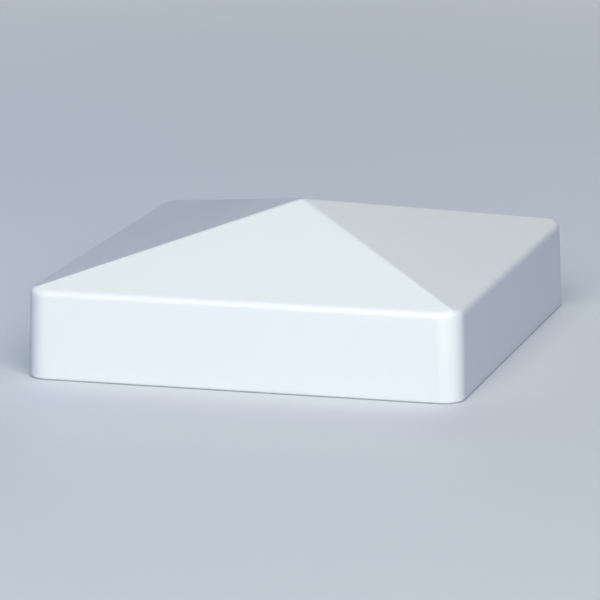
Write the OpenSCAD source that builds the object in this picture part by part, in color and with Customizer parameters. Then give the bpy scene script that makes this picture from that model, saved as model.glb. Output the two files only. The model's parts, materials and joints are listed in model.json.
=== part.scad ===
// Pyramid cap for a square hollow fence post: a vinyl moulding with foam pads inside.
// Millimetres. The origin is the centre of the rim, +Z points up through the apex,
// and the front of the cap faces -Y.

/* [Post and fit] */
// Width of the square post that the cap goes over
post_w = 127; // [100:0.5:160]
// Thickness of the hollow post's wall, which the stops reach across
post_wall = 3.8; // [2:0.1:6]
// Gap between the post and each foam pad where the pads stand closest
pad_gap = 0.1; // [0.05:0.05:1]

/* [Shell] */
// Wall thickness of the moulding
wall = 2.2; // [1.6:0.1:3]
// Lean of the skirt from upright, inwards towards the roof, in degrees
draft_angle = 1; // [0.5:0.25:2]
// Height of the eave line above the rim, before the eave is rounded
skirt_height = 27; // [22:0.5:45]
// Rise of the roof from the eave line to the apex, before the apex is rounded
roof_rise = 17.6; // [12:0.2:40]
// Radius of the upright corners in plan, at the eave
corner_r = 7; // [5:0.5:12]
// Radius of the upright corners in plan, at the rim
rim_corner_r = 6.3; // [5:0.1:12]
// Radius of the rounded eave between skirt and roof
eave_r = 2.5; // [1:0.1:4]
// Radius of the rounded apex
apex_r = 8; // [5:0.5:14]
// Radius of the rounded outer edge of the rim
rim_r = 0.8; // [0.4:0.1:0.9]
// Width of the lead-in chamfer on the inner edge of the rim
lead_in = 0.6; // [0.3:0.1:0.6]

/* [Stops] */
// Drop from the eave line to the lower ends of the stops, where the post's end seats
stop_drop = 6.5; // [5:0.5:9]
// Thickness of a stop gusset
stop_thick = 1.6; // [1.2:0.1:2.5]
// Distance of a stop gusset from the middle of its wall
stop_offset = 18; // [8:0.5:30]
// How far a stop reaches past the inner face of the post's wall
stop_overreach = 2; // [1:0.5:5]
// Lean of a gusset's inner edge from upright, in degrees
stop_lean = 35; // [10:5:45]

/* [Foam pads] */
// Thickness of a foam pad
pad_thick = 1; // [0.6:0.1:2]
// Length of a foam pad along its wall
pad_length = 26; // [12:0.5:32]
// Radius of a foam pad's corners
pad_corner_r = 2; // [0.5:0.1:3]
// Height of a foam pad's lower edge above the rim
pad_rim_gap = 4.5; // [3:0.5:6]
// Gap between a foam pad's upper edge and the level of the stops
pad_stop_gap = 3; // [2:0.5:4]
// Gap between a foam pad's outer end and the start of the rounded inner corner
pad_corner_gap = 3; // [2:0.5:6]

/* [Locating rails] */
// Width of a locating rail
rail_width = 1; // [0.8:0.1:1.6]
// How far a rail stays below the face of the pad that it locates
rail_setback = 0.4; // [0.2:0.1:0.5]
// Gap between a foam pad and the rail beside it
rail_gap = 0.3; // [0.2:0.1:0.8]
// How far a rail runs past the upper and lower edge of the pad
rail_overrun = 1; // [0:0.5:1.5]

/* [Gate stub] */
// Diameter of the trimmed gate stub under the apex
gate_d = 4; // [2:0.5:6]
// Length of the trimmed gate stub
gate_length = 1.2; // [0.5:0.1:3]

/* [Hidden] */
// The cap's sides in order round it. A pad is named after its side and the side it lies nearest to.
SIDES = ["front", "right", "back", "left"];
ENDS = [-1, 1];
PAD_NAMES = [for (side = [0:3]) for (end = ENDS) str("pad_", SIDES[side], "_", SIDES[(side + end + 4) % 4])];

// Facets of a full turn on the blended corners and the apex
BLEND_FN = 40;
// Facets of a full turn on small rounds
SMALL_FN = 32;
// Depth by which a cutter runs past the face that it cuts
RUN_OUT = 1;
// Smallest radius of an inner edge, where the wall is thicker than the outer edge's radius
INNER_EDGE_R = 0.3;

stop_height = skirt_height - stop_drop;
pad_top = stop_height - pad_stop_gap;
pad_height = pad_top - pad_rim_gap;

// Half the distance between opposite inner faces, and outer faces, at a height
function inner_half(z) = post_w / 2 + pad_gap + pad_thick / cos(draft_angle) + (pad_top - z) * tan(draft_angle);
function outer_half(z) = inner_half(z) + wall / cos(draft_angle);

// Radius of the outer upright corners at a height, and the distance of their axes from the two middle planes
function corner_radius(z) = rim_corner_r + (corner_r - rim_corner_r) * z / skirt_height;
function corner_axis(z) = outer_half(z) - corner_radius(z);
// Distance of an edge round's centre from the corner's axis, on the cap's form moved in by inset
function round_offset(z, inset, edge_r) = corner_radius(z) - inset / cos(draft_angle) - edge_r;

roof_slope = atan(roof_rise / outer_half(skirt_height));
// Height of the apex ball's centre, where the ball touches all four roof planes
apex_ball_z = skirt_height + roof_rise - apex_r / cos(roof_slope);
// Drop of the eave round's centre below the eave line, for each millimetre of its distance from the faces
eave_sink = (sin(draft_angle) + cos(roof_slope)) / (1 + sin(roof_slope + draft_angle));
// Distance of a foam pad's middle from the middle of its wall
pad_offset = corner_axis(skirt_height) - pad_corner_gap - pad_length / 2;
rail_offset = pad_length / 2 + rail_gap + rail_width / 2;

// The four upright corners at height z, on the cap's form moved in by inset: a quarter turn of an edge
// of radius edge_r round each corner's axis
module corner_rounds(z, inset, edge_r) {
    for (turn = [0:90:270])
        rotate([0, 0, turn])
            translate([corner_axis(z), corner_axis(z), z])
                rotate_extrude(angle = 90, $fn = BLEND_FN)
                    translate([round_offset(z, inset, edge_r), 0])
                        circle(r = edge_r, $fn = BLEND_FN);
}

// The lower ends of the hips: balls on the corners' diagonals that touch the two roof planes beside
// them, so that the hips stay crisp down to the eave
module hip_ends(eave_z, inset, edge_r) {
    offset_r = round_offset(eave_z, inset, edge_r);
    diagonal = offset_r * cos(45);
    for (x = ENDS, y = ENDS)
        translate([
            x * (corner_axis(eave_z) + diagonal),
            y * (corner_axis(eave_z) + diagonal),
            eave_z + (offset_r - diagonal) * tan(roof_slope)
        ])
            sphere(r = edge_r, $fn = BLEND_FN);
}

// The cap's outer form with all its faces moved in by inset, standing on a rounded foot at foot_z
module cap_form(inset, foot_z) {
    edge_r = max(eave_r - inset, INNER_EDGE_R);
    eave_z = skirt_height - (inset + edge_r) * eave_sink;
    hull() {
        corner_rounds(foot_z, inset, rim_r);
        corner_rounds(eave_z, inset, edge_r);
        hip_ends(eave_z, inset, edge_r);
        translate([0, 0, apex_ball_z])
            sphere(r = apex_r - inset, $fn = BLEND_FN);
    }
}

// Cutter for the lead-in chamfer round the inner edge of the rim
module lead_in_cutter() {
    corner_in = inner_half(0) - corner_axis(0);
    hull()
        for (x = ENDS, y = ENDS)
            translate([x * corner_axis(0), y * corner_axis(0), -RUN_OUT])
                cylinder(
                    h = RUN_OUT + lead_in,
                    r1 = corner_in + lead_in + RUN_OUT,
                    r2 = corner_in,
                    $fn = SMALL_FN
                );
}

// Moves its children to a side, on its inner face: x along the wall, y inwards, z up the leaning face
module on_inner_face(side) {
    rotate([0, 0, 90 * side])
        translate([0, -inner_half(0), 0])
            rotate([-draft_angle, 0, 0])
                children();
}

// A stop gusset on a side: its level lower end is the seat, and its inner edge leans in to the roof
module stop_gusset(side, end) {
    tip = post_w / 2 - post_wall - stop_overreach;
    roof_reach = roof_rise + stop_drop;
    rotate([0, 0, 90 * side])
        translate([end * stop_offset, 0, stop_height])
            rotate([90, 0, -90])
                linear_extrude(height = stop_thick, center = true)
                    polygon([
                        [tip, 0],
                        [outer_half(0), 0],
                        [outer_half(0), roof_reach],
                        [tip - roof_reach * tan(stop_lean), roof_reach]
                    ]);
}

// The two rails that stand beside a foam pad
module pad_rails(side, end) {
    on_inner_face(side)
        for (beside = ENDS)
            translate([
                end * pad_offset + beside * rail_offset - rail_width / 2,
                -wall / 2,
                pad_rim_gap - rail_overrun
            ])
                cube([rail_width, wall / 2 + pad_thick - rail_setback, pad_height + 2 * rail_overrun]);
}

module gate_stub() {
    roof_underside = apex_ball_z + apex_r - wall;
    translate([0, 0, roof_underside - gate_length])
        cylinder(h = gate_length + wall / 2, d = gate_d, $fn = SMALL_FN);
}

module cap_shell() {
    color("#eaf1f7") {
        difference() {
            cap_form(0, rim_r);
            cap_form(wall, -rim_r - RUN_OUT);
            lead_in_cutter();
        }
        intersection() {
            cap_form(wall / 2, rim_r);
            for (side = [0:3], end = ENDS)
                stop_gusset(side, end);
        }
        for (side = [0:3], end = ENDS)
            pad_rails(side, end);
        gate_stub();
    }
}

// A foam pad stuck to its side's inner face, its flat outline rounded at the corners
module foam_pad(side, end) {
    color("#3a3d42")
        on_inner_face(side)
            translate([end * pad_offset, pad_thick, pad_rim_gap + pad_height / 2])
                rotate([90, 0, 0])
                    linear_extrude(height = pad_thick)
                        rounded_outline(pad_length, pad_height, pad_corner_r);
}

module rounded_outline(length, height, r) {
    square([length - 2 * r, height], center = true);
    square([length, height - 2 * r], center = true);
    for (x = ENDS, y = ENDS)
        translate([x * (length / 2 - r), y * (height / 2 - r)])
            circle(r = r, $fn = SMALL_FN);
}

cap_shell();
for (side = [0:3], k = [0:1])
    foam_pad(side, ENDS[k]);
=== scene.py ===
"""A vinyl fence post cap: the moulded shell, the foam pads inside it, and the studio it stands in.

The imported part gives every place. All sizes are in metres, +Z is up, and the cap's front faces -Y.
"""

import json
import logging
import math
from dataclasses import dataclass, field
from enum import Enum

import bmesh
import bpy
from mathutils import Matrix, Vector, noise


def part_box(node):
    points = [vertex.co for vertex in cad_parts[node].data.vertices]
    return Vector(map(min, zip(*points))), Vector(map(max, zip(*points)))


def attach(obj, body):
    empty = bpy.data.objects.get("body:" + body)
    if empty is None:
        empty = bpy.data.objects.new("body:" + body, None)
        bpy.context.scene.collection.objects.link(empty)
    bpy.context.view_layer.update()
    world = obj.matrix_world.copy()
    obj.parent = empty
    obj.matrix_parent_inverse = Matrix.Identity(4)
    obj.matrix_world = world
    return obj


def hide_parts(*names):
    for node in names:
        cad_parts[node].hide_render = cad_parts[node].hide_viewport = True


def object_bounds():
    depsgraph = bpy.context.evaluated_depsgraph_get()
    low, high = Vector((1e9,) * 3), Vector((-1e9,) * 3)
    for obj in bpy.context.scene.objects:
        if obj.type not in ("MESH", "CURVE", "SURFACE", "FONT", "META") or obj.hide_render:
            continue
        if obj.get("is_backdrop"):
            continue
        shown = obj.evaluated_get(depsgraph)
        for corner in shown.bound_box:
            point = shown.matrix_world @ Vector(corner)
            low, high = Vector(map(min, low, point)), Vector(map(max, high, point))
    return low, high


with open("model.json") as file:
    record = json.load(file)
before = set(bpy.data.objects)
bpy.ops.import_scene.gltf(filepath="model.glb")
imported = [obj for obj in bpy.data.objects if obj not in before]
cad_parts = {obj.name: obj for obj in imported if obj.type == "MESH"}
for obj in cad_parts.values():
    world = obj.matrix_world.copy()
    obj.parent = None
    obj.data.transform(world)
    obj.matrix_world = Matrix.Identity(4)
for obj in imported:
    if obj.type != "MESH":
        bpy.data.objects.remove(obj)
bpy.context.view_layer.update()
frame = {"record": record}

BODY = "root"
MM = 0.001
WELD = 0.001 * MM
ENDS = (-1, 1)

Colour = tuple[float, float, float]

log = logging.getLogger("post_cap")


class Side(Enum):
    """The cap's four sides, in order round it. The value counts quarter turns from the front."""

    FRONT = 0
    RIGHT = 1
    BACK = 2
    LEFT = 3

    @property
    def turn(self) -> Matrix:
        """The turn about +Z that brings the front to this side."""
        return Matrix.Rotation(self.value * math.pi / 2, 4, "Z")

    def beside(self, end: int) -> "Side":
        """The side that lies next to this one, at its left end (-1) or its right end (1)."""
        return Side((self.value + end) % len(Side))


class Slot(Enum):
    """The record's material slots."""

    VINYL = "vinyl"
    FOAM = "foam"


# ---------------------------------------------------------------------------------------------
# Mesh helpers


def finished_piece(name: str, bm: bmesh.types.BMesh, crease: float = math.radians(30)) -> bpy.types.Object:
    """Turns a finished bmesh into an object at the origin, smooth but for its sharp edges.

    Args:
        name: the piece's name.
        bm: the mesh, which is used up.
        crease: the angle between two faces past which the edge between them stays sharp.

    Returns:
        The new object, linked to the scene.
    """
    for face in bm.faces:
        face.smooth = True
    for edge in bm.edges:
        edge.smooth = edge.is_manifold and edge.calc_face_angle(0.0) < crease
    mesh = bpy.data.meshes.new(name)
    bm.to_mesh(mesh)
    bm.free()
    piece = bpy.data.objects.new(name, mesh)
    bpy.context.scene.collection.objects.link(piece)
    return piece


def open_edges(bm: bmesh.types.BMesh) -> list[bmesh.types.BMEdge]:
    """The edges of a mesh that have one face only."""
    return [edge for edge in bm.edges if edge.is_boundary]


def add_mesh(bm: bmesh.types.BMesh, other: bmesh.types.BMesh) -> None:
    """Moves all of another mesh into this one, and frees the other."""
    carrier = bpy.data.meshes.new("carrier")
    other.to_mesh(carrier)
    other.free()
    bm.from_mesh(carrier)
    bpy.data.meshes.remove(carrier)


def prism(outline: list[tuple[float, float]], width: float, edge: float) -> bmesh.types.BMesh:
    """A prism with softened edges, from an outline of (out, up) points and a width along X.

    Args:
        outline: the corners of the outline, as distances out towards the front and up.
        width: the prism's width, half of it on each side of X = 0.
        edge: the width of the bevel on its edges.

    Returns:
        The closed prism.
    """
    bm = bmesh.new()
    corners = [bm.verts.new((-width / 2, -out, up)) for out, up in outline]
    base = bm.faces.new(corners)
    top = bmesh.ops.extrude_face_region(bm, geom=[base])["geom"]
    bmesh.ops.translate(bm, vec=(width, 0, 0), verts=[v for v in top if isinstance(v, bmesh.types.BMVert)])
    bmesh.ops.recalc_face_normals(bm, faces=bm.faces)
    bevel_edges(bm, bm.edges[:], edge, 2)
    return bm


def bevel_edges(bm: bmesh.types.BMesh, edges: list[bmesh.types.BMEdge], offset: float, segments: int) -> None:
    """Rounds some edges of a mesh.

    Args:
        bm: the mesh.
        edges: the edges to round.
        offset: how far each edge is set back on its faces.
        segments: the number of faces across a round.
    """
    bmesh.ops.bevel(
        bm,
        geom=edges,
        offset=offset,
        offset_type="OFFSET",
        segments=segments,
        profile=0.5,
        material=-1,
        affect="EDGES",
    )


def hold_flats(bm: bmesh.types.BMesh, least_area: float, border: float) -> None:
    """Insets the large flat faces a little, so that the rounds beside them don't tint their shading.

    Args:
        bm: the mesh.
        least_area: the area from which a face counts as large.
        border: the width of the border that each one gets.
    """
    large = [face for face in bm.faces if face.calc_area() > least_area]
    bmesh.ops.inset_individual(bm, faces=large, thickness=border, use_even_offset=True)


def weld_solids(body: bpy.types.Object, extra: bpy.types.Object) -> bpy.types.Object:
    """Joins two closed meshes into one solid, and leaves one object with the body's name.

    Args:
        body: the main solid.
        extra: what is added to it, which is used up.

    Returns:
        The joined piece.
    """
    union = body.modifiers.new("weld", "BOOLEAN")
    union.operation = "UNION"
    union.solver = "EXACT"
    union.object = extra
    bpy.context.view_layer.update()
    whole = body.evaluated_get(bpy.context.evaluated_depsgraph_get())
    bm = bmesh.new()
    bm.from_mesh(whole.to_mesh())
    whole.to_mesh_clear()
    name = body.name
    for used in (body, extra):
        mesh = used.data
        bpy.data.objects.remove(used)
        bpy.data.meshes.remove(mesh)
    bmesh.ops.remove_doubles(bm, verts=bm.verts, dist=WELD)
    bmesh.ops.dissolve_degenerate(bm, dist=WELD, edges=bm.edges)
    return finished_piece(name, bm)


# ---------------------------------------------------------------------------------------------
# Finishes


class NodeBench:
    """A node tree with short calls to add nodes and to wire them."""

    def __init__(self, tree: bpy.types.NodeTree) -> None:
        """Starts on a tree."""
        self.tree = tree

    def add(self, kind: str, **values: object) -> bpy.types.Node:
        """Adds a node.

        Args:
            kind: the node's type name.
            values: its properties, and its inputs by name with spaces written as underscores.

        Returns:
            The new node.
        """
        node = self.tree.nodes.new(kind)
        for key, value in values.items():
            if hasattr(node, key):
                setattr(node, key, value)
            else:
                node.inputs[key.replace("_", " ")].default_value = value
        return node

    def wire(self, source: bpy.types.NodeSocket, target: bpy.types.NodeSocket) -> None:
        """Links an output to an input."""
        self.tree.links.new(source, target)


@dataclass(frozen=True)
class EffectGroup:
    """A surface effect that several finishes share, built once as a node group."""

    name: str
    inputs: dict[str, str]
    outputs: dict[str, str]

    def start(self) -> tuple[bpy.types.NodeTree, NodeBench, bpy.types.Node, bpy.types.Node]:
        """Makes the empty group with its sockets.

        Returns:
            The group, a bench on it, and its input and output nodes.
        """
        group = bpy.data.node_groups.new(self.name, "ShaderNodeTree")
        for name, kind in self.inputs.items():
            group.interface.new_socket(name=name, in_out="INPUT", socket_type=kind)
        for name, kind in self.outputs.items():
            group.interface.new_socket(name=name, in_out="OUTPUT", socket_type=kind)
        bench = NodeBench(group)
        return group, bench, bench.add("NodeGroupInput"), bench.add("NodeGroupOutput")


def mould_texture() -> bpy.types.NodeTree:
    """The slight unevenness of a moulded or cast surface, as a fine height and a broad mottle.

    Returns:
        A group with Place, Grain and Spread in, and Height and Mottle out.
    """
    effect = EffectGroup(
        "mould_texture",
        {"Place": "NodeSocketVector", "Grain": "NodeSocketFloat", "Spread": "NodeSocketFloat"},
        {"Height": "NodeSocketFloat", "Mottle": "NodeSocketFloat"},
    )
    group, bench, given, result = effect.start()
    grain = bench.add("ShaderNodeTexNoise", noise_dimensions="3D", Detail=3.0, Roughness=0.55)
    broad = bench.add("ShaderNodeTexNoise", noise_dimensions="3D", Detail=2.0, Roughness=0.5)
    for texture, scale in ((grain, "Grain"), (broad, "Spread")):
        bench.wire(given.outputs["Place"], texture.inputs["Vector"])
        bench.wire(given.outputs[scale], texture.inputs["Scale"])
    bench.wire(grain.outputs["Fac"], result.inputs["Height"])
    bench.wire(broad.outputs["Fac"], result.inputs["Mottle"])
    return group


def settled_dust() -> bpy.types.NodeTree:
    """Thin dust that settles in patches on what faces up.

    Returns:
        A group with Place and Amount in, and Mask out.
    """
    effect = EffectGroup(
        "settled_dust",
        {"Place": "NodeSocketVector", "Amount": "NodeSocketFloat"},
        {"Mask": "NodeSocketFloat"},
    )
    group, bench, given, result = effect.start()
    geometry = bench.add("ShaderNodeNewGeometry")
    parts = bench.add("ShaderNodeSeparateXYZ")
    upward = bench.add("ShaderNodeMapRange", From_Min=0.3, From_Max=1.0, To_Min=0.0, To_Max=1.0)
    patches = bench.add("ShaderNodeTexNoise", noise_dimensions="3D", Scale=60.0, Detail=5.0, Roughness=0.65)
    patch_range = bench.add("ShaderNodeMapRange", From_Min=0.35, From_Max=0.75, To_Min=0.2, To_Max=1.0)
    on_top = bench.add("ShaderNodeMath", operation="MULTIPLY")
    amount = bench.add("ShaderNodeMath", operation="MULTIPLY", use_clamp=True)
    bench.wire(geometry.outputs["Normal"], parts.inputs[0])
    bench.wire(parts.outputs["Z"], upward.inputs["Value"])
    bench.wire(given.outputs["Place"], patches.inputs["Vector"])
    bench.wire(patches.outputs["Fac"], patch_range.inputs["Value"])
    bench.wire(upward.outputs["Result"], on_top.inputs[0])
    bench.wire(patch_range.outputs["Result"], on_top.inputs[1])
    bench.wire(on_top.outputs[0], amount.inputs[0])
    bench.wire(given.outputs["Amount"], amount.inputs[1])
    bench.wire(amount.outputs[0], result.inputs["Mask"])
    return group


@dataclass
class Effects:
    """The shared surface effects."""

    texture: bpy.types.NodeTree = field(default_factory=mould_texture)
    dust: bpy.types.NodeTree = field(default_factory=settled_dust)


@dataclass(frozen=True)
class PlasticFinish:
    """A moulded or foamed plastic: two close tints, a roughness range, a relief and a little dust."""

    name: str
    light: Colour
    dark: Colour
    smoothest: float
    roughest: float
    ior: float
    grain: float
    spread: float
    relief: float
    dust: float
    dust_tint: Colour = (0.62, 0.6, 0.56)
    specular: float = 0.5

    def material(self, effects: Effects) -> bpy.types.Material:
        """Builds the material.

        Args:
            effects: the shared node groups.

        Returns:
            The material, which reads the piece's Object coordinates.
        """
        made = bpy.data.materials.new(self.name)
        made.use_nodes = True
        made.diffuse_color = (*self.light, 1.0)
        bench = NodeBench(made.node_tree)
        shader = made.node_tree.nodes["Principled BSDF"]
        shader.inputs["IOR"].default_value = self.ior
        shader.inputs["Specular IOR Level"].default_value = self.specular
        place = bench.add("ShaderNodeTexCoord")
        texture = bench.add("ShaderNodeGroup", node_tree=effects.texture)
        texture.inputs["Grain"].default_value = self.grain
        texture.inputs["Spread"].default_value = self.spread
        dust = bench.add("ShaderNodeGroup", node_tree=effects.dust)
        dust.inputs["Amount"].default_value = self.dust
        for effect in (texture, dust):
            bench.wire(place.outputs["Object"], effect.inputs["Place"])
        tint = bench.add("ShaderNodeMix", data_type="RGBA")
        tint.inputs["A"].default_value = (*self.dark, 1.0)
        tint.inputs["B"].default_value = (*self.light, 1.0)
        dusted = bench.add("ShaderNodeMix", data_type="RGBA")
        dusted.inputs["B"].default_value = (*self.dust_tint, 1.0)
        gloss = bench.add(
            "ShaderNodeMapRange", From_Min=0.3, From_Max=0.7, To_Min=self.smoothest, To_Max=self.roughest
        )
        relief = bench.add("ShaderNodeBump", Distance=self.relief, Strength=1.0)
        bench.wire(texture.outputs["Mottle"], tint.inputs["Factor"])
        bench.wire(tint.outputs["Result"], dusted.inputs["A"])
        bench.wire(dust.outputs["Mask"], dusted.inputs["Factor"])
        bench.wire(dusted.outputs["Result"], shader.inputs["Base Color"])
        bench.wire(texture.outputs["Mottle"], gloss.inputs["Value"])
        bench.wire(gloss.outputs["Result"], shader.inputs["Roughness"])
        bench.wire(texture.outputs["Height"], relief.inputs["Height"])
        bench.wire(relief.outputs["Normal"], shader.inputs["Normal"])
        return made


WHITE_VINYL = PlasticFinish(
    name="white_vinyl",
    light=(0.85, 0.872, 0.885),
    dark=(0.835, 0.858, 0.873),
    smoothest=0.28,
    roughest=0.325,
    ior=1.53,
    grain=900.0,
    spread=22.0,
    relief=0.002 * MM,
    dust=0.02,
)
CHARCOAL_FOAM = PlasticFinish(
    name="charcoal_foam",
    light=(0.060, 0.062, 0.066),
    dark=(0.022, 0.023, 0.025),
    smoothest=0.85,
    roughest=0.97,
    ior=1.45,
    grain=2600.0,
    spread=900.0,
    relief=0.12 * MM,
    dust=0.1,
    specular=0.25,
)
CLEAR_FILM = PlasticFinish(
    name="adhesive_film",
    light=(0.74, 0.72, 0.66),
    dark=(0.66, 0.64, 0.58),
    smoothest=0.35,
    roughest=0.5,
    ior=1.47,
    grain=1500.0,
    spread=400.0,
    relief=0.01 * MM,
    dust=0.0,
)
PALE_FLOOR = PlasticFinish(
    name="pale_floor",
    light=(0.70, 0.72, 0.75),
    dark=(0.69, 0.71, 0.74),
    smoothest=0.55,
    roughest=0.62,
    ior=1.45,
    grain=300.0,
    spread=6.0,
    relief=0.005 * MM,
    dust=0.0,
    specular=0.3,
)


# ---------------------------------------------------------------------------------------------
# The moulded shell


@dataclass
class CapShell:
    """The one-piece vinyl moulding: roof, skirt, stops, rails and gate stub."""

    wall: float = 2.2 * MM
    draft: float = math.radians(1)
    skirt_height: float = 27 * MM
    eave_corner: float = 7 * MM
    rim_corner: float = 6.3 * MM
    eave_radius: float = 2.5 * MM
    apex_radius: float = 8 * MM
    rim_radius: float = 0.8 * MM
    inner_edge: float = 0.3 * MM
    lead_in: float = 0.6 * MM
    stop_width: float = 1.6 * MM
    stop_offset: float = 18 * MM
    stop_tip: float = 57.7 * MM
    stop_lean: float = math.radians(35)
    rail_width: float = 1 * MM
    rail_depth: float = 0.6 * MM
    rail_gap: float = 0.3 * MM
    rail_overrun: float = 1 * MM
    gate_radius: float = 2 * MM
    gate_length: float = 1.2 * MM
    soft_edge: float = 0.15 * MM
    corner_steps: int = 16
    ball_segments: int = 64
    flat_within: float = math.radians(0.4)
    quad_bend: float = math.radians(4)
    quad_skew: float = math.radians(50)

    def __post_init__(self) -> None:
        """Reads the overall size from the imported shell."""
        _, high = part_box("cap_shell")
        self.rim_half = high.x
        self.apex_ball_z = high.z - self.apex_radius
        reach = self.outer_half(self.skirt_height)
        climb = self.apex_ball_z - self.skirt_height
        self.roof_slope = math.atan2(climb, reach) + math.asin(self.apex_radius / math.hypot(reach, climb))

    def outer_half(self, height: float) -> float:
        """Half the distance between opposite outer faces at a height."""
        return self.rim_half - (height - self.rim_radius) * math.tan(self.draft)

    def inner_half(self, height: float) -> float:
        """Half the distance between opposite inner faces at a height."""
        return self.outer_half(height) - self.wall / math.cos(self.draft)

    def corner_radius(self, height: float) -> float:
        """The plan radius of the outer upright corners at a height."""
        return self.rim_corner + (self.eave_corner - self.rim_corner) * height / self.skirt_height

    def inner_face(self, side: Side) -> Matrix:
        """The place of a side's inner face: X along the wall, Y inwards, Z up the leaning face."""
        lean = Matrix.Rotation(-self.draft, 4, "X")
        return side.turn @ Matrix.Translation((0, -self.inner_half(0), 0)) @ lean

    def add_round(self, bm: bmesh.types.BMesh, centre: Vector, radius: float, angle: float) -> None:
        """Adds the upright ring of a rounding ball, turned to face an angle in plan.

        Args:
            bm: the mesh that gets it.
            centre: the ball's centre.
            radius: the ball's radius.
            angle: the angle in plan, from +X.
        """
        facing = Matrix.Rotation(angle, 4, "Z") @ Matrix.Rotation(math.pi / 2, 4, "X")
        bmesh.ops.create_circle(
            bm,
            cap_ends=False,
            segments=self.ball_segments,
            radius=radius,
            matrix=Matrix.Translation(centre) @ facing,
        )

    def add_ball(self, bm: bmesh.types.BMesh, centre: Vector, radius: float) -> None:
        """Adds a whole rounding ball."""
        bmesh.ops.create_uvsphere(
            bm,
            u_segments=self.ball_segments,
            v_segments=self.ball_segments // 2,
            radius=radius,
            matrix=Matrix.Translation(centre),
        )

    def add_corner(self, bm: bmesh.types.BMesh, side: Side, inset: float, foot: float) -> None:
        """Adds the rounding balls of one upright corner, at the foot and along the eave.

        Args:
            bm: the mesh that gets them.
            side: which corner it is, counted as the sides are.
            inset: how far the skin lies inside the outer one.
            foot: the height of the balls at the foot.
        """
        eave_r = max(self.eave_radius - inset, self.inner_edge)
        fullness = 1 + math.sin(self.roof_slope + self.draft)
        sink = (math.sin(self.draft) + math.cos(self.roof_slope)) / fullness
        eave = self.skirt_height - (inset + eave_r) * sink
        for step in range(self.corner_steps + 1):
            angle = step / self.corner_steps * math.pi / 2
            out = Vector((math.cos(angle), math.sin(angle), 0))
            facing = side.value * math.pi / 2 + angle
            for height, radius in ((foot, self.rim_radius), (eave, eave_r)):
                axis = self.outer_half(height) - self.corner_radius(height)
                offset = self.corner_radius(height) - inset / math.cos(self.draft) - radius
                centre = Vector((axis, axis, height)) + out * offset
                if height == eave:
                    centre.z += offset * (1 - max(out.x, out.y)) * math.tan(self.roof_slope)
                centre.rotate(side.turn)
                self.add_round(bm, centre, radius, facing)
            if 2 * step == self.corner_steps:
                self.add_ball(bm, centre, radius)

    def skin(self, inset: float, foot: float) -> bmesh.types.BMesh:
        """Wraps a skin round the balls that round the cap's edges.

        Args:
            inset: how far the skin lies inside the outer one.
            foot: the height of the lowest balls' centres.

        Returns:
            A closed skin with clean flats.
        """
        bm = bmesh.new()
        for side in Side:
            self.add_corner(bm, side, inset, foot)
        self.add_ball(bm, Vector((0, 0, self.apex_ball_z)), self.apex_radius - inset)
        bmesh.ops.delete(bm, geom=bm.edges[:] + bm.faces[:], context="EDGES_FACES")
        bmesh.ops.remove_doubles(bm, verts=bm.verts, dist=WELD)
        bmesh.ops.convex_hull(bm, input=bm.verts, use_existing_faces=False)
        bmesh.ops.delete(bm, geom=[vert for vert in bm.verts if not vert.link_faces], context="VERTS")
        bmesh.ops.dissolve_limit(
            bm, angle_limit=self.flat_within, use_dissolve_boundaries=False, verts=bm.verts, edges=bm.edges
        )
        bmesh.ops.join_triangles(
            bm,
            faces=[face for face in bm.faces if len(face.verts) == 3],
            angle_face_threshold=self.quad_bend,
            angle_shape_threshold=self.quad_skew,
        )
        return bm

    def open_foot(self, bm: bmesh.types.BMesh, height: float) -> None:
        """Cuts a skin open at a height and drops what lies below, with any level face left near the cut."""
        geom = bm.verts[:] + bm.edges[:] + bm.faces[:]
        bmesh.ops.bisect_plane(
            bm, geom=geom, dist=WELD, plane_co=(0, 0, height), plane_no=(0, 0, 1), clear_inner=True
        )
        level = [face for face in bm.faces if face.normal.z < -0.99]
        floor = [face for face in level if face.calc_center_median().z < height + MM]
        bmesh.ops.delete(bm, geom=floor, context="FACES_ONLY")
        bmesh.ops.delete(bm, geom=[edge for edge in bm.edges if edge.is_wire], context="EDGES")

    def wall_and_roof(self) -> bpy.types.Object:
        """Builds the plain moulding: the outer skin, the lining, and the rim between them.

        Returns:
            The closed shell.
        """
        large, border = 100 * MM * MM, 0.5 * MM
        outer = self.skin(0, self.rim_radius)
        self.open_foot(outer, 0)
        lining = self.skin(self.wall, -self.rim_radius - MM)
        self.open_foot(lining, self.lead_in)
        for skin in (outer, lining):
            hold_flats(skin, large, border)
        bmesh.ops.reverse_faces(lining, faces=lining.faces)
        lip = bmesh.ops.extrude_edge_only(lining, edges=open_edges(lining))["geom"]
        lip_verts = [vert for vert in lip if isinstance(vert, bmesh.types.BMVert)]
        spread = 1 + self.lead_in / self.inner_half(self.lead_in)
        bmesh.ops.scale(lining, vec=(spread, spread, 1), verts=lip_verts)
        bmesh.ops.translate(lining, vec=(0, 0, -self.lead_in), verts=lip_verts)
        add_mesh(outer, lining)
        bmesh.ops.bridge_loops(outer, edges=open_edges(outer))
        bmesh.ops.recalc_face_normals(outer, faces=outer.faces)
        return finished_piece("moulded_cap", outer)

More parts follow.
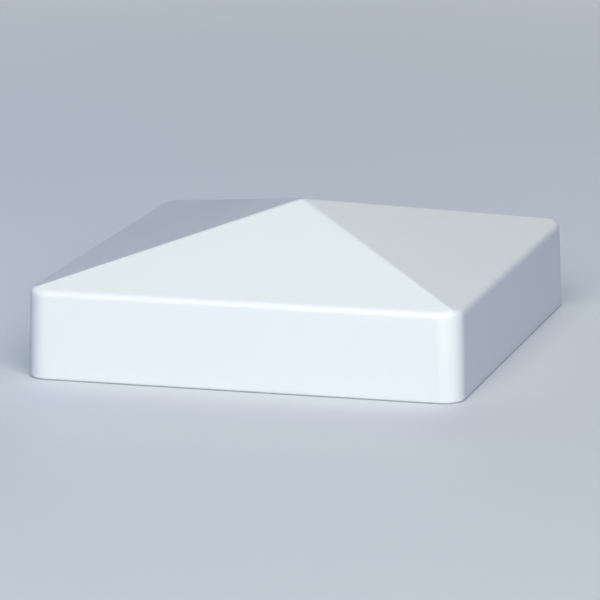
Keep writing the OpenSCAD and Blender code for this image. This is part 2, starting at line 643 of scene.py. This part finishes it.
    def stop(self, side: Side, end: int, seat: float) -> bmesh.types.BMesh:
        """A stop gusset, from the seat of the post's end up into the roof and out into the skirt.

        Args:
            side: its side.
            end: which end of the side it lies towards.
            seat: the height of its level lower end.

        Returns:
            The closed gusset, whose outer edges lie inside the wall.
        """
        slope = math.tan(self.roof_slope)
        deep = self.wall / 2
        wall_out = self.outer_half(self.skirt_height) - deep / math.cos(self.draft)
        eave_up = self.skirt_height - deep / math.cos(self.roof_slope)
        lean = math.tan(self.stop_lean)
        climb = (eave_up - seat + (wall_out - self.stop_tip) * slope) / (1 - lean * slope)
        outline = [
            (self.stop_tip, seat),
            (wall_out, seat),
            (wall_out, eave_up),
            (self.stop_tip - climb * lean, seat + climb),
        ]
        bm = prism(outline, self.stop_width, self.soft_edge)
        bmesh.ops.transform(
            bm, matrix=side.turn @ Matrix.Translation((end * self.stop_offset, 0, 0)), verts=bm.verts
        )
        return bm

    def rail(self, side: Side, along: float, bottom: float, top: float) -> bmesh.types.BMesh:
        """A rail that locates a pad.

        Args:
            side: its side.
            along: its middle's distance from the middle of the wall.
            bottom: the height of its lower end.
            top: the height of its upper end.

        Returns:
            The closed rail, sunk into the wall.
        """
        sunk = self.wall / 2
        outline = [(-self.rail_depth, bottom), (sunk, bottom), (sunk, top), (-self.rail_depth, top)]
        bm = prism(outline, self.rail_width, self.soft_edge)
        place = self.inner_face(side) @ Matrix.Translation((along, 0, 0))
        bmesh.ops.transform(bm, matrix=place, verts=bm.verts)
        return bm

    def gate_stub(self) -> bmesh.types.BMesh:
        """The trimmed stub of the gate, under the apex."""
        underside = self.apex_ball_z + self.apex_radius - self.wall
        bottom, top = underside - self.gate_length, underside + self.wall / 2
        bm = bmesh.new()
        bmesh.ops.create_cone(
            bm,
            cap_ends=True,
            segments=self.ball_segments // 2,
            radius1=self.gate_radius,
            radius2=self.gate_radius,
            depth=top - bottom,
            matrix=Matrix.Translation((0, 0, (top + bottom) / 2)),
        )
        lower = [edge for edge in bm.edges if all(vert.co.z < bottom + WELD for vert in edge.verts)]
        bevel_edges(bm, lower, 2 * self.soft_edge, 3)
        return bm

    def build(self, pads: list["PadPlace"], seat: float) -> bpy.types.Object:
        """Builds the whole moulding.

        Args:
            pads: the places of the pads, which the rails stand beside.
            seat: the height of the stops' lower ends.

        Returns:
            The moulding as one closed piece.
        """
        inside = self.gate_stub()
        for side in Side:
            for end in ENDS:
                add_mesh(inside, self.stop(side, end, seat))
        for pad in pads:
            bottom, top = pad.bottom - self.rail_overrun, pad.top + self.rail_overrun
            for end in ENDS:
                along = pad.along + end * (pad.length / 2 + self.rail_gap + self.rail_width / 2)
                add_mesh(inside, self.rail(pad.side, along, bottom, top))
        return weld_solids(self.wall_and_roof(), finished_piece("inside_features", inside))


# ---------------------------------------------------------------------------------------------
# The foam pads


@dataclass
class PadPlace:
    """Where a foam pad sits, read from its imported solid, seen as if its side were the front."""

    side: Side
    end: int

    def __post_init__(self) -> None:
        """Reads the pad's box."""
        self.node = f"pad_{self.side.name.lower()}_{self.side.beside(self.end).name.lower()}"
        corners = [self.side.turn.inverted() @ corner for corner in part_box(self.node)]
        reach = sorted(corner.x for corner in corners)
        self.along = sum(reach) / 2
        self.length = reach[1] - reach[0]
        self.bottom = min(corner.z for corner in corners)
        self.top = max(corner.z for corner in corners)


@dataclass
class FoamPad:
    """A die-cut pad of closed-cell foam on an adhesive film."""

    place: PadPlace
    thickness: float = 1 * MM
    film: float = 0.1 * MM
    corner_radius: float = 2 * MM
    soft_edge: float = 0.16 * MM
    lattice: float = 0.8 * MM
    unevenness: float = 0.03 * MM

    def slab(self) -> bmesh.types.BMesh:
        """The plain slab on its back: rounded corners, a soft upper edge, and the film split off below."""
        length, height = self.place.length, self.place.top - self.place.bottom
        bm = bmesh.new()
        bmesh.ops.create_cube(bm, size=1)
        bmesh.ops.scale(bm, vec=(length, height, self.thickness), verts=bm.verts)
        bmesh.ops.translate(bm, vec=(0, 0, self.thickness / 2), verts=bm.verts)
        half = self.thickness / 2
        upright = [edge for edge in bm.edges if abs((edge.verts[0].co - edge.verts[1].co).z) > half]
        bevel_edges(bm, upright, self.corner_radius, 10)
        upper = [edge for edge in bm.edges if all(vert.co.z > self.thickness - WELD for vert in edge.verts)]
        bevel_edges(bm, upper, self.soft_edge, 3)
        return bm

    def slice_up(self, bm: bmesh.types.BMesh) -> None:
        """Cuts the slab into a lattice, and at the film."""
        cuts = [(Vector((0, 0, self.film)), Vector((0, 0, 1)))]
        height = self.place.top - self.place.bottom
        for axis, size in ((Vector((1, 0, 0)), self.place.length), (Vector((0, 1, 0)), height)):
            rows = round(size / self.lattice)
            cuts += [(axis * size * (row / rows - 0.5), axis) for row in range(1, rows)]
        for point, normal in cuts:
            bmesh.ops.bisect_plane(
                bm, geom=bm.verts[:] + bm.edges[:] + bm.faces[:], dist=WELD, plane_co=point, plane_no=normal
            )

    def build(self, seat: Matrix) -> bpy.types.Object:
        """Builds the pad.

        Args:
            seat: the place of the inner face that it sticks to.

        Returns:
            The pad, with its film's faces set to the second material index.
        """
        bm = self.slab()
        self.slice_up(bm)
        for face in bm.faces:
            face.material_index = int(face.calc_center_median().z < self.film)
        start = Vector((self.place.along, self.place.side.value, 0))
        for vert in bm.verts:
            if vert.co.z > self.film + WELD:
                cell = noise.noise(vert.co / self.corner_radius + start)
                vert.co.z -= self.unevenness * (0.5 + 0.5 * cell) * vert.co.z / self.thickness
        middle = (self.place.bottom + self.place.top) / 2
        onto_wall = Matrix.Translation((self.place.along, 0, middle)) @ Matrix.Rotation(-math.pi / 2, 4, "X")
        bmesh.ops.transform(bm, matrix=seat @ onto_wall, verts=bm.verts)
        return finished_piece(f"foam_{self.place.node}", bm)


# ---------------------------------------------------------------------------------------------
# The studio


@dataclass(frozen=True)
class SoftLight:
    """A square soft box that faces the cap."""

    name: str
    azimuth: float
    elevation: float
    distance: float
    size: float
    watts: float
    tint: Colour

    def place(self, target: Vector) -> None:
        """Hangs the light round the target. Azimuth 0 is in front of the cap and 90 to its right."""
        data = bpy.data.lights.new(self.name, "AREA")
        data.shape = "SQUARE"
        data.size = self.size
        data.energy = self.watts
        data.color = self.tint
        lamp = bpy.data.objects.new(self.name, data)
        out = direction(self.azimuth, self.elevation)
        lamp.location = target + out * self.distance
        lamp.rotation_mode = "QUATERNION"
        lamp.rotation_quaternion = out.to_track_quat("Z", "Y")
        bpy.context.scene.collection.objects.link(lamp)


def direction(azimuth: float, elevation: float) -> Vector:
    """The way out from the cap at an azimuth from the front and an elevation, both in degrees."""
    turn, lift = math.radians(azimuth), math.radians(elevation)
    return Vector((math.sin(turn) * math.cos(lift), -math.cos(turn) * math.cos(lift), math.sin(lift)))


@dataclass
class Studio:
    """The floor, the lights and the camera."""

    floor_size: float = 8.0
    floor_throw: Colour = (0.34, 0.38, 0.46)
    fade: tuple[float, float] = (0.2, 1.5)
    azimuth: float = 16.83
    elevation: float = 12.82
    roll: float = -0.82
    distance: float = 1.276
    lens: float = 248.8
    aim_left: float = 1.06 * MM
    aim_below: float = 9.45 * MM
    backdrop: Colour = (0.62, 0.645, 0.68)
    surround: Colour = (0.0, 0.005, 0.155)
    zenith_height: float = 0.35
    lights: tuple[SoftLight, ...] = (
        SoftLight("key_box", 20.0, 35.0, 3.0, 3.6, 146.0, (0.963, 1.0, 0.923)),
        SoftLight("top_box", 200.0, 41.0, 3.0, 1.5, 9.1, (0.885, 1.0, 0.48)),
        SoftLight("low_box", 180.0, 8.0, 3.0, 1.5, 3.5, (0.9, 1.0, 0.4)),
        SoftLight("fill_box", -125.0, 14.0, 3.0, 2.4, 23.5, (0.46, 0.72, 1.0)),
    )

    def lay_floor(self, effects: Effects) -> None:
        """Lays the pale floor."""
        bm = bmesh.new()
        bmesh.ops.create_grid(bm, x_segments=8, y_segments=8, size=self.floor_size / 2)
        floor = finished_piece("studio_floor", bm)
        floor.data.materials.append(self.floor_material(effects))
        floor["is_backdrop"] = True

    def floor_material(self, effects: Effects) -> bpy.types.Material:
        """The pale floor's material.

        It throws less and cooler light on to the cap than its own tone would, and it fades into the
        backdrop with the distance, so that no horizon shows.

        Args:
            effects: the shared node groups.

        Returns:
            The material.
        """
        made = PALE_FLOOR.material(effects)
        bench = NodeBench(made.node_tree)
        shader, output = made.node_tree.nodes["Principled BSDF"], made.node_tree.nodes["Material Output"]
        path = bench.add("ShaderNodeLightPath")
        thrown = bench.add("ShaderNodeBsdfDiffuse", Color=(*self.floor_throw, 1.0))
        choice = bench.add("ShaderNodeMixShader")
        place = bench.add("ShaderNodeTexCoord")
        distance = bench.add("ShaderNodeVectorMath", operation="LENGTH")
        fade = bench.add("ShaderNodeMapRange", interpolation_type="SMOOTHSTEP")
        fade.inputs["From Min"].default_value, fade.inputs["From Max"].default_value = self.fade
        far = bench.add("ShaderNodeEmission", Color=(*self.backdrop, 1.0))
        seen = bench.add("ShaderNodeMixShader")
        bench.wire(place.outputs["Object"], distance.inputs[0])
        bench.wire(distance.outputs["Value"], fade.inputs["Value"])
        bench.wire(fade.outputs["Result"], seen.inputs["Fac"])
        bench.wire(shader.outputs["BSDF"], seen.inputs[1])
        bench.wire(far.outputs["Emission"], seen.inputs[2])
        bench.wire(path.outputs["Is Camera Ray"], choice.inputs["Fac"])
        bench.wire(thrown.outputs["BSDF"], choice.inputs[1])
        bench.wire(seen.outputs["Shader"], choice.inputs[2])
        bench.wire(choice.outputs["Shader"], output.inputs["Surface"])
        return made

    def light(self, target: Vector) -> None:
        """Hangs the soft boxes and the surround, and sets plain colours for the picture."""
        for lamp in self.lights:
            lamp.place(target)
        bpy.context.scene.world = self.surround_world()
        bpy.context.scene.view_settings.view_transform = "Standard"

    def surround_world(self) -> bpy.types.World:
        """The surround: a faint cool light from above, with the pale backdrop where the camera looks.

        Returns:
            The world.
        """
        world = bpy.data.worlds.new("soft_surround")
        world.use_nodes = True
        bench = NodeBench(world.node_tree)
        way = bench.add("ShaderNodeTexCoord")
        parts = bench.add("ShaderNodeSeparateXYZ")
        height = bench.add("ShaderNodeMapRange", From_Min=0.0, From_Max=self.zenith_height)
        even = bench.add("ShaderNodeMix", data_type="RGBA")
        even.inputs["A"].default_value = (0.0, 0.0, 0.0, 1.0)
        even.inputs["B"].default_value = (*self.surround, 1.0)
        path = bench.add("ShaderNodeLightPath")
        tone = bench.add("ShaderNodeMix", data_type="RGBA")
        tone.inputs["B"].default_value = (*self.backdrop, 1.0)
        bench.wire(way.outputs["Generated"], parts.inputs[0])
        bench.wire(parts.outputs["Z"], height.inputs["Value"])
        bench.wire(height.outputs["Result"], even.inputs["Factor"])
        bench.wire(even.outputs["Result"], tone.inputs["A"])
        bench.wire(path.outputs["Is Camera Ray"], tone.inputs["Factor"])
        bench.wire(tone.outputs["Result"], world.node_tree.nodes["Background"].inputs["Color"])
        return world

    def set_camera(self, middle: Vector) -> None:
        """Sets up the camera, a little above the cap and to the right of its front."""
        data = bpy.data.cameras.new("view_camera")
        data.lens = self.lens
        data.clip_end = 2 * self.floor_size
        camera = bpy.data.objects.new("view_camera", data)
        back = direction(self.azimuth, self.elevation)
        right = direction(self.azimuth + 90.0, 0.0)
        aim = middle - right * self.aim_left - back.cross(right) * self.aim_below
        camera.location = middle + back * self.distance
        sight = (camera.location - aim).to_track_quat("Z", "Y")
        camera.rotation_mode = "QUATERNION"
        camera.rotation_quaternion = sight @ Matrix.Rotation(math.radians(self.roll), 4, "Z").to_quaternion()
        bpy.context.scene.collection.objects.link(camera)
        bpy.context.scene.camera = camera


# ---------------------------------------------------------------------------------------------
# Assembly


def hand_over(piece: bpy.types.Object, node: str) -> None:
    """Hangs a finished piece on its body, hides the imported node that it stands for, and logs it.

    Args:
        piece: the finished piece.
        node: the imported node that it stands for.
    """
    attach(piece, BODY)
    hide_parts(node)
    log.info("%s: %d faces, stands for %s", piece.name, len(piece.data.polygons), node)


def seat_height() -> float:
    """The height of the stops' lower ends, from the record's post seat."""
    mounts = {mount["name"]: mount for mount in frame["record"]["mounts"]}
    return mounts["post_seat"]["pos_m"][2]


def main() -> None:
    """Builds the cap and its studio."""
    effects = Effects()
    places = [PadPlace(side, end) for side in Side for end in ENDS]
    cap = CapShell()
    shell = cap.build(places, seat_height())
    shell.data.materials.append(WHITE_VINYL.material(effects))
    hand_over(shell, "cap_shell")
    foam, film = CHARCOAL_FOAM.material(effects), CLEAR_FILM.material(effects)
    for place in places:
        pad = FoamPad(place).build(cap.inner_face(place.side))
        pad.data.materials.append(foam)
        pad.data.materials.append(film)
        hand_over(pad, place.node)
    studio = Studio()
    middle = Vector((0, 0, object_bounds()[1].z / 2))
    studio.lay_floor(effects)
    studio.light(middle)
    studio.set_camera(middle)


if __name__ == "__main__":
    logging.basicConfig(level=logging.INFO, format="%(name)s: %(message)s")
    main()
